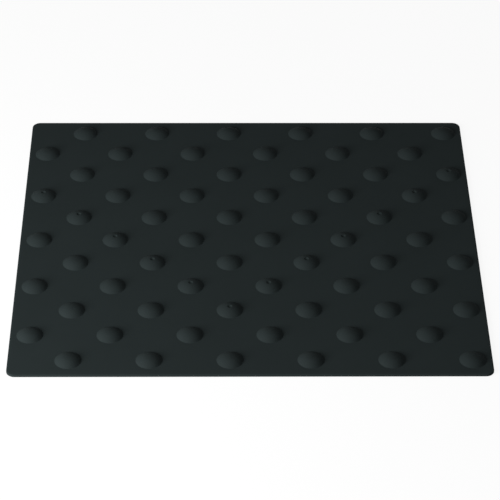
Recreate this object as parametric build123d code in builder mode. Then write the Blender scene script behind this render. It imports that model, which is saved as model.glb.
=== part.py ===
"""Adhesive tactile warning strip: one moulded tile with staggered rows of round warning domes.

The tile is a single solid. Its thin flat base is glued to the ground by its underside, and the domes
stand on its top face. A zigzag of small moulding pits crosses the tile, one pit in each column of domes.

All sizes are in millimetres. The origin is the middle of the underside, +X runs along the rows,
+Y runs from the front edge to the back edge, and +Z points up.
"""

import math
import os

from build123d import *

# Pattern of the domes
dome_pitch = 75.0  # between neighbours in one row
row_pitch = 37.5  # from one row to the next
domes_in_row = 6
row_count = 11

# One dome, a cap of a ball
dome_diameter = 25.0  # where it meets the base
dome_height = 5.0

# Base
base_thickness = 2.5
end_margin = 21.0  # from the middles of the outer rows to the front and back edges
corner_radius = 8.0  # corners of the outline, seen from above
edge_radius = 1.0  # rounding of the top edge

# Round moulding pits in the crowns of some domes
pit_diameter = 4.5  # at the mouth
pit_depth = 1.1  # below the crown
pit_turn_column = 5  # the zigzag turns here, counted from the left, starting at 0
pit_turn_row = 8  # and here, counted from the back, starting at 0

# Columns are half a pitch apart, and each row uses every second one
column_count = 2 * domes_in_row
column_pitch = dome_pitch / 2

# The side margins are half a column, so the rows run on into the next tile at the same pitch
base_width = column_count * column_pitch
base_depth = (row_count - 1) * row_pitch + 2 * end_margin


def ball_radius(width, height):
    """Radius of the ball that a cap of this width and height is cut from."""
    return ((width / 2) ** 2 + height**2) / (2 * height)


# The domes are caps of one ball, and another ball is pressed into their crowns to make the pits
dome_ball = ball_radius(dome_diameter, dome_height)
mouth_drop = dome_ball - math.sqrt(dome_ball**2 - (pit_diameter / 2) ** 2)
pit_ball = ball_radius(pit_diameter, pit_depth - mouth_drop)
pit_ball_level = base_thickness + dome_height - pit_depth + pit_ball


def site(column, row, level):
    """Place of a column, counted from the left, in a row, counted from the back."""
    x = (column - (column_count - 1) / 2) * column_pitch
    y = ((row_count - 1) / 2 - row) * row_pitch
    return x, y, level


def pit_row(column):
    """Row of the pit in a column: the zigzag climbs one row a column on both sides of its turn."""
    return pit_turn_row - abs(column - pit_turn_column)


dome_sites = [
    site(column, row, base_thickness)
    for row in range(row_count)
    for column in range(column_count)
    if (column + row) % 2 == 1
]
pit_sites = [
    site(column, pit_row(column), pit_ball_level)
    for column in range(column_count)
    if 0 <= pit_row(column) < row_count
]

# One dome with its foot on the ground plane. Its ball lies on its side, so no pole or seam is on the cap.
with BuildPart() as dome:
    with Locations((0, 0, dome_height - dome_ball)):
        Sphere(dome_ball, rotation=(0, 90, 0))
    split(bisect_by=Plane.XY)

# The whole tile
with BuildPart() as tactile_strip:
    with BuildSketch():
        RectangleRounded(base_width, base_depth, corner_radius)
    extrude(amount=base_thickness)
    fillet(tactile_strip.edges().group_by(Axis.Z)[-1], edge_radius)
    with Locations(*dome_sites):
        add(dome.part)
    # These balls are turned the other way, so no pole or seam is on their lower sides
    with Locations(*pit_sites):
        Sphere(pit_ball, rotation=(0, -90, 0), mode=Mode.SUBTRACT)

os.makedirs("parts", exist_ok=True)
tactile_strip.part.label = "tactile_strip"
export_step(tactile_strip.part, "parts/tactile_strip.step")
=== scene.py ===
"""Looks of the adhesive tactile warning strip: a finely meshed tile in black moulded rubber.

All sizes are in metres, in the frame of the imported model: the origin is the middle of the underside,
+X runs along the rows of domes, +Y from the front edge to the back edge, and +Z points up.
"""

import math

import bpy
from mathutils import Matrix, Vector


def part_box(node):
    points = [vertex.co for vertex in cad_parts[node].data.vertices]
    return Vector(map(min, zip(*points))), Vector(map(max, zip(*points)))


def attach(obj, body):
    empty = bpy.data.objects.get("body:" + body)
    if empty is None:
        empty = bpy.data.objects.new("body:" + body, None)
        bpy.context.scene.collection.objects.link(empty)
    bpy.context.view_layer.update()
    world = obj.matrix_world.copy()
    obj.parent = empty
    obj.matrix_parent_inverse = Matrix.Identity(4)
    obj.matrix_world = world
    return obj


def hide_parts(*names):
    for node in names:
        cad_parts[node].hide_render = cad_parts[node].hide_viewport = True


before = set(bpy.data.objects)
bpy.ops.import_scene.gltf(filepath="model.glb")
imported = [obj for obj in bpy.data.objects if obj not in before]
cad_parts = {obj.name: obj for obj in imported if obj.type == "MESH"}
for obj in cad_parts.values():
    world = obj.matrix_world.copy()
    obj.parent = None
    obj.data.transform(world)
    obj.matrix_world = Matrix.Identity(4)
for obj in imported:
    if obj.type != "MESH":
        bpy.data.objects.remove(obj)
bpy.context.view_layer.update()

MM = 0.001
QUARTER_TURN = math.radians(90)
FULL_TURN = math.radians(360)

# Pattern of the domes
COLUMNS = 12
ROWS = 11
PIT_TURN_COLUMN = 5  # the zigzag of pits turns here, counted from the left, starting at 0
PIT_TURN_ROW = 8  # and here, counted from the back, starting at 0

# Form of the tile
BASE_THICKNESS = 2.5 * MM
DOME_RADIUS = 12.5 * MM  # where a dome would meet the base without its root radius
CORNER_RADIUS = 8.0 * MM  # corners of the outline, seen from above
EDGE_RADIUS = 1.0 * MM  # rounding of the top edge
PIT_RADIUS = 2.25 * MM  # at its mouth
PIT_DEPTH = 1.1 * MM  # below the crown

# Small radii of the mould that the solid leaves out
ROOT_RADIUS = 0.5 * MM  # where a dome rises from the base
RIM_RADIUS = 0.25 * MM  # rim of a pit

# Fineness of the mesh
CELL_STEPS = 12  # along one side of the square around each dome
RING_STEPS = 4 * CELL_STEPS  # around a dome
CAP_STEPS = 9  # from the root of a dome to its middle or its pit
PIT_STEPS = 5
SMALL_STEPS = 4  # along each small radius
CORNER_STEPS = 12
EDGE_STEPS = 6
FLAT_RING = 0.4 * MM  # width of the flat ring around each dome's root
BORDER = 4.0 * MM  # width of the strip between the outline and the squares
FRONT_LEFT = math.radians(-135)  # direction of a square's front left corner, where its rings start
SHARP_ANGLE = math.radians(40)  # edges with a sharper turn aren't shaded smooth

# Finish of the rubber
COLOUR_DEEP = (0.0115, 0.0159, 0.0161, 1)
COLOUR_PALE = (0.0127, 0.0175, 0.0178, 1)
# Painted shade: the crowns of the domes are coloured darker than the rest of the rubber
CROWN_PAINTED_SHADE_COLOUR = (0.0111, 0.0153, 0.0155, 1)
CROWN_SHADE_ZONE = 1.2 * MM  # height over which the painted shade on the domes deepens towards their crowns
SPECULAR = 0.06
ROUGHNESS_LOW = 0.75
ROUGHNESS_HIGH = 0.85
GRAIN_STRENGTH = 0.6
GRAIN_DEPTH = 0.15 * MM
WAVE_STRENGTH = 1.0
WAVE_DEPTH = 0.10 * MM

# Noises of the rubber, as waves a metre and levels of detail
CLOUD_NOISE = (14, 4)
SHEEN_NOISE = (60, 5)
GRAIN_NOISE = (1500, 4)
WAVE_NOISE = (25, 2)
NOISE_LOW = 0.25  # most of a noise lies between these two
NOISE_HIGH = 0.75

# Camera, fitted to the domes in the photograph
CAMERA_ELEVATION = math.radians(36.69)
CAMERA_AZIMUTH = math.radians(-0.88)
CAMERA_ROLL = math.radians(0.47)
CAMERA_DISTANCE = 2.391
CAMERA_TARGET = Vector((1.5 * MM, -16.8 * MM, BASE_THICKNESS))
SENSOR_WIDTH = 36.0
LENS = 175.3

# Studio
KEY_AZIMUTH = math.radians(216)  # from +X towards +Y, so it stands at the front left
KEY_ELEVATION = math.radians(20)
KEY_DISTANCE = 1.35
KEY_SIZE = 0.6
KEY_POWER = 36.3
WORLD_GREY = 0.37
FLOOR_REACH = 20.0
FLOOR_LEVEL = -0.1 * MM  # just under the tile
FLOOR_STEPS = 64
FLOOR_GREY = 0.80
FLOOR_WHITE_SHARE = 0.90  # plain white in what is seen of the floor; the rest is its light and shadow
WALL_HEIGHT = 1.2  # of the wall at the floor's far rim

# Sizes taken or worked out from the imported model
tile_low, tile_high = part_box("tactile_strip")
WIDTH = tile_high.x - tile_low.x
DEPTH = tile_high.y - tile_low.y
PITCH = WIDTH / COLUMNS  # from column to column, and from row to row
CROWN = tile_high.z
DOME_HEIGHT = CROWN - BASE_THICKNESS
BALL_RADIUS = (DOME_RADIUS**2 + DOME_HEIGHT**2) / (2 * DOME_HEIGHT)
BALL_LEVEL = CROWN - BALL_RADIUS


def arc(steps, start, end):
    """Angles from start to end in equal steps, the first one left out."""
    return [start + (end - start) * step / steps for step in range(1, steps + 1)]


def has_dome(column, row):
    """Rows are counted from the back, and each row uses every second column."""
    return (column + row) % 2 == 1


def has_pit(column, row):
    """The pits climb one row a column on both sides of the turn of their zigzag."""
    return row == PIT_TURN_ROW - abs(column - PIT_TURN_COLUMN)


def dome_profile(pitted):
    """Pairs of radius and level from the flat around a dome to its middle."""
    # The root is an arc that touches the flat and the dome's ball, with its middle in the air
    apart = BALL_RADIUS + ROOT_RADIUS
    root_reach = math.sqrt(apart**2 - (apart - DOME_HEIGHT) ** 2)
    root_angle = math.asin(root_reach / apart)
    profile = [(root_reach + FLAT_RING, BASE_THICKNESS), (root_reach, BASE_THICKNESS)]
    for angle in arc(SMALL_STEPS, 0, root_angle):
        radius = root_reach - ROOT_RADIUS * math.sin(angle)
        level = BASE_THICKNESS + ROOT_RADIUS * (1 - math.cos(angle))
        profile.append((radius, level))
    rim_angle, dimple = pit_profile() if pitted else (0, [])
    for angle in arc(CAP_STEPS, root_angle, rim_angle):
        radius = BALL_RADIUS * math.sin(angle)
        level = BALL_LEVEL + BALL_RADIUS * math.cos(angle)
        profile.append((radius, level))
    return profile + dimple


def pit_profile():
    """Angle on the dome's ball where a pit's rounded rim starts, and the rim and the round pit itself."""
    floor_level = CROWN - PIT_DEPTH
    mouth_level = BALL_LEVEL + math.sqrt(BALL_RADIUS**2 - PIT_RADIUS**2)
    drop = mouth_level - floor_level
    pit_ball = (PIT_RADIUS**2 + drop**2) / (2 * drop)
    pit_level = floor_level + pit_ball
    # The rim is an arc that touches the dome's ball and the pit's ball, with its middle inside the rubber
    dome_side = BALL_RADIUS - RIM_RADIUS
    pit_side = pit_ball + RIM_RADIUS
    apart = pit_level - BALL_LEVEL
    level = (dome_side**2 - pit_side**2 + apart**2) / (2 * apart)
    reach = math.sqrt(dome_side**2 - level**2)
    rim_angle = math.atan2(reach, level)
    pit_angle = math.atan2(reach, apart - level)
    rim = [
        (reach + RIM_RADIUS * math.sin(angle), BALL_LEVEL + level + RIM_RADIUS * math.cos(angle))
        for angle in arc(SMALL_STEPS, rim_angle, -pit_angle)
    ]
    floor = [
        (pit_ball * math.sin(angle), pit_level - pit_ball * math.cos(angle))
        for angle in arc(PIT_STEPS, pit_angle, 0)
    ]
    return rim_angle, rim + floor


class TileMesh:
    """Collects the vertices and faces of the tile."""

    def __init__(self):
        self.vertices = []
        self.faces = []

    def vertex(self, x, y, z):
        """Adds a vertex and returns its number."""
        self.vertices.append((x, y, z))
        return len(self.vertices) - 1

    def band(self, outer, inner):
        """Quads between two closed loops of equal length that run the same way round."""
        for step in range(len(outer)):
            after = (step + 1) % len(outer)
            self.faces.append((outer[step], outer[after], inner[after], inner[step]))

    def fan(self, loop, middle):
        """Triangles from a closed loop to one vertex."""
        for step in range(len(loop)):
            self.faces.append((loop[step], loop[(step + 1) % len(loop)], middle))


def grid_line(half_length, cells, index):
    """Place of a line of the grid. Its outermost lines stand back from the outline by the border."""
    limit = half_length - BORDER
    cell = min(index // CELL_STEPS, cells - 1)
    low = -limit if cell == 0 else PITCH * (cell - cells / 2)
    high = limit if cell == cells - 1 else PITCH * (cell + 1 - cells / 2)
    return low + (high - low) * (index - cell * CELL_STEPS) / CELL_STEPS


def square_corner(column, row):
    """Grid place of a square's front left corner."""
    return column * CELL_STEPS, (ROWS - 1 - row) * CELL_STEPS


def square_loop(column, row):
    """Grid places around one square, anticlockwise from its front left corner."""
    left, front = square_corner(column, row)
    right = left + CELL_STEPS
    back = front + CELL_STEPS
    steps = range(CELL_STEPS)
    return (
        [(left + step, front) for step in steps]
        + [(right, front + step) for step in steps]
        + [(right - step, back) for step in steps]
        + [(left, back - step) for step in steps]
    )


def add_squares(tile):
    """Top face inside the border, in plain and domed squares. Returns the grid's vertices by place."""
    grid = {}

    def at(place):
        if place not in grid:
            x = grid_line(WIDTH / 2, COLUMNS, place[0])
            y = grid_line(DEPTH / 2, ROWS, place[1])
            grid[place] = tile.vertex(x, y, BASE_THICKNESS)
        return grid[place]

    for row in range(ROWS):
        for column in range(COLUMNS):
            if has_dome(column, row):
                loop = [at(place) for place in square_loop(column, row)]
                add_dome(tile, loop, column, row)
            else:
                add_plain_square(tile, at, column, row)
    return grid


def add_plain_square(tile, at, column, row):
    """Flat square of the grid, with the same steps along its sides as a square with a dome."""
    left, front = square_corner(column, row)
    for x in range(left, left + CELL_STEPS):
        for y in range(front, front + CELL_STEPS):
            tile.faces.append((at((x, y)), at((x + 1, y)), at((x + 1, y + 1)), at((x, y + 1))))


def add_dome(tile, loop, column, row):
    """Rings from the square around a dome up to its crown, and down into its pit if it has one."""
    middle_x = PITCH * (column - (COLUMNS - 1) / 2)
    middle_y = PITCH * ((ROWS - 1) / 2 - row)
    profile = dome_profile(has_pit(column, row))
    for radius, level in profile[:-1]:
        ring = []
        for step in range(RING_STEPS):
            angle = FRONT_LEFT + FULL_TURN * step / RING_STEPS
            x = middle_x + radius * math.cos(angle)
            y = middle_y + radius * math.sin(angle)
            ring.append(tile.vertex(x, y, level))
        tile.band(loop, ring)
        loop = ring
    tile.fan(loop, tile.vertex(middle_x, middle_y, profile[-1][1]))


def edge_stations(tile, grid):
    """Stations around the outline, anticlockwise.

    Each holds the outermost vertex of the grid beside it, a point one corner radius inside the outline,
    and the direction outwards from that point.
    """
    last_x = COLUMNS * CELL_STEPS
    last_y = ROWS * CELL_STEPS
    sides = (
        ([(step, 0) for step in range(last_x + 1)], Vector((0, -1))),
        ([(last_x, step) for step in range(last_y + 1)], Vector((1, 0))),
        ([(last_x - step, last_y) for step in range(last_x + 1)], Vector((0, 1))),
        ([(0, last_y - step) for step in range(last_y + 1)], Vector((-1, 0))),
    )
    limit_x = WIDTH / 2 - CORNER_RADIUS
    limit_y = DEPTH / 2 - CORNER_RADIUS
    stations = []
    for number, (places, outward) in enumerate(sides):
        for place in places[1:-1]:
            x, y, level = tile.vertices[grid[place]]
            base = Vector((max(-limit_x, min(limit_x, x)), max(-limit_y, min(limit_y, y))))
            stations.append((grid[place], base, outward))
        following = sides[(number + 1) % len(sides)][1]
        corner = outward + following
        base = Vector((limit_x * corner.x, limit_y * corner.y))
        for angle in arc(CORNER_STEPS, 0, QUARTER_TURN)[:-1]:
            direction = math.cos(angle) * outward + math.sin(angle) * following
            stations.append((grid[places[-1]], base, direction))
    return stations


def edge_loop(tile, stations, reach, level):
    """Loop of vertices at one level, each one reach outwards from its station's point."""
    loop = []
    for beside, base, direction in stations:
        place = base + reach * direction
        loop.append(tile.vertex(place.x, place.y, level))
    return loop


def add_border(tile, stations):
    """Strip of the top face between the squares and the rounded edge. Returns the loop at the edge."""
    loop = edge_loop(tile, stations, CORNER_RADIUS - EDGE_RADIUS, BASE_THICKNESS)
    for step in range(len(loop)):
        after = (step + 1) % len(loop)
        beside = stations[step][0]
        beside_after = stations[after][0]
        if beside == beside_after:
            tile.faces.append((loop[step], loop[after], beside))
        else:
            tile.faces.append((loop[step], loop[after], beside_after, beside))
    return loop


def add_sides(tile, stations, loop):
    """Rounded top edge, straight side and flat underside."""
    rings = []
    for angle in arc(EDGE_STEPS, 0, QUARTER_TURN):
        reach = CORNER_RADIUS - EDGE_RADIUS * (1 - math.sin(angle))
        level = BASE_THICKNESS - EDGE_RADIUS * (1 - math.cos(angle))
        rings.append((reach, level))
    rings.append((CORNER_RADIUS, 0))
    for reach, level in rings:
        ring = edge_loop(tile, stations, reach, level)
        tile.band(ring, loop)
        loop = ring
    tile.faces.append(tuple(reversed(loop)))


def make_tile():
    """The whole tile as one closed mesh."""
    tile = TileMesh()
    grid = add_squares(tile)
    stations = edge_stations(tile, grid)
    loop = add_border(tile, stations)
    add_sides(tile, stations, loop)
    mesh = bpy.data.meshes.new("warning_tile")
    mesh.from_pydata(tile.vertices, [], tile.faces)
    mesh.shade_smooth()
    mesh.set_sharp_from_angle(angle=SHARP_ANGLE)
    piece = bpy.data.objects.new("warning_tile", mesh)
    bpy.context.scene.collection.objects.link(piece)
    return piece


class Nodes:
    """Short ways to add and join the nodes of a material or a world."""

    def __init__(self, owner):
        owner.use_nodes = True
        self.tree = owner.node_tree
        self.tree.nodes.clear()

    def add(self, kind, **settings):
        node = self.tree.nodes.new(kind)
        for name, value in settings.items():
            setattr(node, name, value)
        return node

    def join(self, output, socket):
        self.tree.links.new(output, socket)


def noise(nodes, place, waves, detail):
    """Noise with a given number of waves a metre and levels of finer detail."""
    texture = nodes.add("ShaderNodeTexNoise")
    texture.inputs["Scale"].default_value = waves
    texture.inputs["Detail"].default_value = detail
    nodes.join(place, texture.inputs["Vector"])
    return texture.outputs["Fac"]


def spread(nodes, value, low, high):
    """The middle of a noise spread from low to high."""
    mapped = nodes.add("ShaderNodeMapRange")
    mapped.inputs["From Min"].default_value = NOISE_LOW
    mapped.inputs["From Max"].default_value = NOISE_HIGH
    mapped.inputs["To Min"].default_value = low
    mapped.inputs["To Max"].default_value = high
    nodes.join(value, mapped.inputs["Value"])
    return mapped.outputs["Result"]


def bump(nodes, height, strength, depth):
    """Relief of a given depth."""
    relief = nodes.add("ShaderNodeBump")
    relief.inputs["Strength"].default_value = strength
    relief.inputs["Distance"].default_value = depth
    nodes.join(height, relief.inputs["Height"])
    return relief


def rubber_colour(nodes, place):
    """Cloudy black with a slight blue-green cast, and painted shade that darkens the crowns of the domes.
    """
    cloudy = nodes.add("ShaderNodeMix", data_type="RGBA")
    cloudy.inputs["A"].default_value = COLOUR_DEEP
    cloudy.inputs["B"].default_value = COLOUR_PALE
    nodes.join(spread(nodes, noise(nodes, place, *CLOUD_NOISE), 0, 1), cloudy.inputs["Factor"])

    height = nodes.add("ShaderNodeSeparateXYZ")
    nodes.join(place, height.inputs["Vector"])
    # Painted shade: the colour darkens towards the crowns of the domes
    crown_shade_mask = nodes.add("ShaderNodeMapRange", interpolation_type="SMOOTHSTEP")
    crown_shade_mask.inputs["From Min"].default_value = CROWN - CROWN_SHADE_ZONE
    crown_shade_mask.inputs["From Max"].default_value = CROWN
    nodes.join(height.outputs["Z"], crown_shade_mask.inputs["Value"])
    colour = nodes.add("ShaderNodeMix", data_type="RGBA")
    nodes.join(cloudy.outputs["Result"], colour.inputs["A"])
    colour.inputs["B"].default_value = CROWN_PAINTED_SHADE_COLOUR
    nodes.join(crown_shade_mask.outputs["Result"], colour.inputs["Factor"])
    return colour.outputs["Result"]


def rubber_relief(nodes, place):
    """Fine grain of the mould over a faint waviness."""
    wave = bump(nodes, noise(nodes, place, *WAVE_NOISE), WAVE_STRENGTH, WAVE_DEPTH)
    grain = bump(nodes, noise(nodes, place, *GRAIN_NOISE), GRAIN_STRENGTH, GRAIN_DEPTH)
    nodes.join(wave.outputs["Normal"], grain.inputs["Normal"])
    return grain.outputs["Normal"]


def moulded_rubber():
    """Matte black rubber from a finely grained mould, with a faintly uneven sheen."""
    material = bpy.data.materials.new("moulded_rubber")
    nodes = Nodes(material)
    place = nodes.add("ShaderNodeTexCoord").outputs["Object"]
    sheen = spread(nodes, noise(nodes, place, *SHEEN_NOISE), ROUGHNESS_LOW, ROUGHNESS_HIGH)
    shader = nodes.add("ShaderNodeBsdfPrincipled")
    shader.inputs["Specular IOR Level"].default_value = SPECULAR
    nodes.join(rubber_colour(nodes, place), shader.inputs["Base Color"])
    nodes.join(sheen, shader.inputs["Roughness"])
    nodes.join(rubber_relief(nodes, place), shader.inputs["Normal"])
    output = nodes.add("ShaderNodeOutputMaterial")
    nodes.join(shader.outputs["BSDF"], output.inputs["Surface"])
    return material


def floor_white():
    """Pale floor that the camera sees as white, with the light and shadow on it kept faintly."""
    material = bpy.data.materials.new("floor_white")
    nodes = Nodes(material)
    matte = nodes.add("ShaderNodeBsdfDiffuse")
    matte.inputs["Color"].default_value = (FLOOR_GREY, FLOOR_GREY, FLOOR_GREY, 1)
    white = nodes.add("ShaderNodeEmission")
    white.inputs["Strength"].default_value = 1.0
    path = nodes.add("ShaderNodeLightPath")
    seen = path.outputs["Is Camera Ray"]
    for ray in ("Is Glossy Ray", "Is Transmission Ray"):
        either = nodes.add("ShaderNodeMath", operation="MAXIMUM")
        nodes.join(seen, either.inputs[0])
        nodes.join(path.outputs[ray], either.inputs[1])
        seen = either.outputs["Value"]
    share = nodes.add("ShaderNodeMath", operation="MULTIPLY")
    share.inputs[1].default_value = FLOOR_WHITE_SHARE
    nodes.join(seen, share.inputs[0])
    mix = nodes.add("ShaderNodeMixShader")
    nodes.join(share.outputs["Value"], mix.inputs["Fac"])
    nodes.join(matte.outputs["BSDF"], mix.inputs[1])
    nodes.join(white.outputs["Emission"], mix.inputs[2])
    output = nodes.add("ShaderNodeOutputMaterial")
    nodes.join(mix.outputs["Shader"], output.inputs["Surface"])
    return material


def make_floor():
    """Round floor with a low wall far away, so that views from low down end in white too."""
    mesh = bpy.data.meshes.new("floor")
    turns = [FULL_TURN * step / FLOOR_STEPS for step in range(FLOOR_STEPS)]
    rim = [(FLOOR_REACH * math.cos(turn), FLOOR_REACH * math.sin(turn)) for turn in turns]
    vertices = [(x, y, FLOOR_LEVEL) for x, y in rim] + [(x, y, WALL_HEIGHT) for x, y in rim]
    faces = [tuple(range(FLOOR_STEPS))]
    for step in range(FLOOR_STEPS):
        after = (step + 1) % FLOOR_STEPS
        faces.append((after, step, FLOOR_STEPS + step, FLOOR_STEPS + after))
    mesh.from_pydata(vertices, [], faces)
    mesh.materials.append(floor_white())
    floor = bpy.data.objects.new("floor", mesh)
    bpy.context.scene.collection.objects.link(floor)


def make_key():
    """One soft box at the front left."""
    lamp = bpy.data.lights.new("key", "AREA")
    lamp.shape = "SQUARE"
    lamp.size = KEY_SIZE
    lamp.energy = KEY_POWER
    key = bpy.data.objects.new("key", lamp)
    towards = Vector((
        math.cos(KEY_AZIMUTH) * math.cos(KEY_ELEVATION),
        math.sin(KEY_AZIMUTH) * math.cos(KEY_ELEVATION),
        math.sin(KEY_ELEVATION),
    ))
    key.location = KEY_DISTANCE * towards
    key.rotation_euler = towards.to_track_quat("Z", "Y").to_euler()
    bpy.context.scene.collection.objects.link(key)


def make_room():
    """Dim even light from all around."""
    world = bpy.data.worlds.new("studio")
    bpy.context.scene.world = world
    nodes = Nodes(world)
    room = nodes.add("ShaderNodeBackground")
    room.inputs["Color"].default_value = (WORLD_GREY, WORLD_GREY, WORLD_GREY, 1)
    output = nodes.add("ShaderNodeOutputWorld")
    nodes.join(room.outputs["Background"], output.inputs["Surface"])


def make_camera():
    """Camera that looks at the target from the front and above, with a slight roll."""
    lens = bpy.data.cameras.new("camera")
    lens.sensor_width = SENSOR_WIDTH
    lens.lens = LENS
    camera = bpy.data.objects.new("camera", lens)
    back = Vector((
        math.sin(CAMERA_AZIMUTH) * math.cos(CAMERA_ELEVATION),
        -math.cos(CAMERA_AZIMUTH) * math.cos(CAMERA_ELEVATION),
        math.sin(CAMERA_ELEVATION),
    ))
    right = Vector((0, 0, 1)).cross(back).normalized()
    up = back.cross(right)
    axes = Matrix((right, up, back)).transposed()
    camera.matrix_world = (
        Matrix.Translation(CAMERA_TARGET + CAMERA_DISTANCE * back)
        @ axes.to_4x4()
        @ Matrix.Rotation(CAMERA_ROLL, 4, "Z")
    )
    bpy.context.scene.collection.objects.link(camera)
    bpy.context.scene.camera = camera


warning_tile = make_tile()
warning_tile.data.materials.append(moulded_rubber())
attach(warning_tile, "root")
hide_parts("tactile_strip")

make_floor()
make_key()
make_room()
make_camera()
bpy.context.scene.view_settings.view_transform = "Standard"
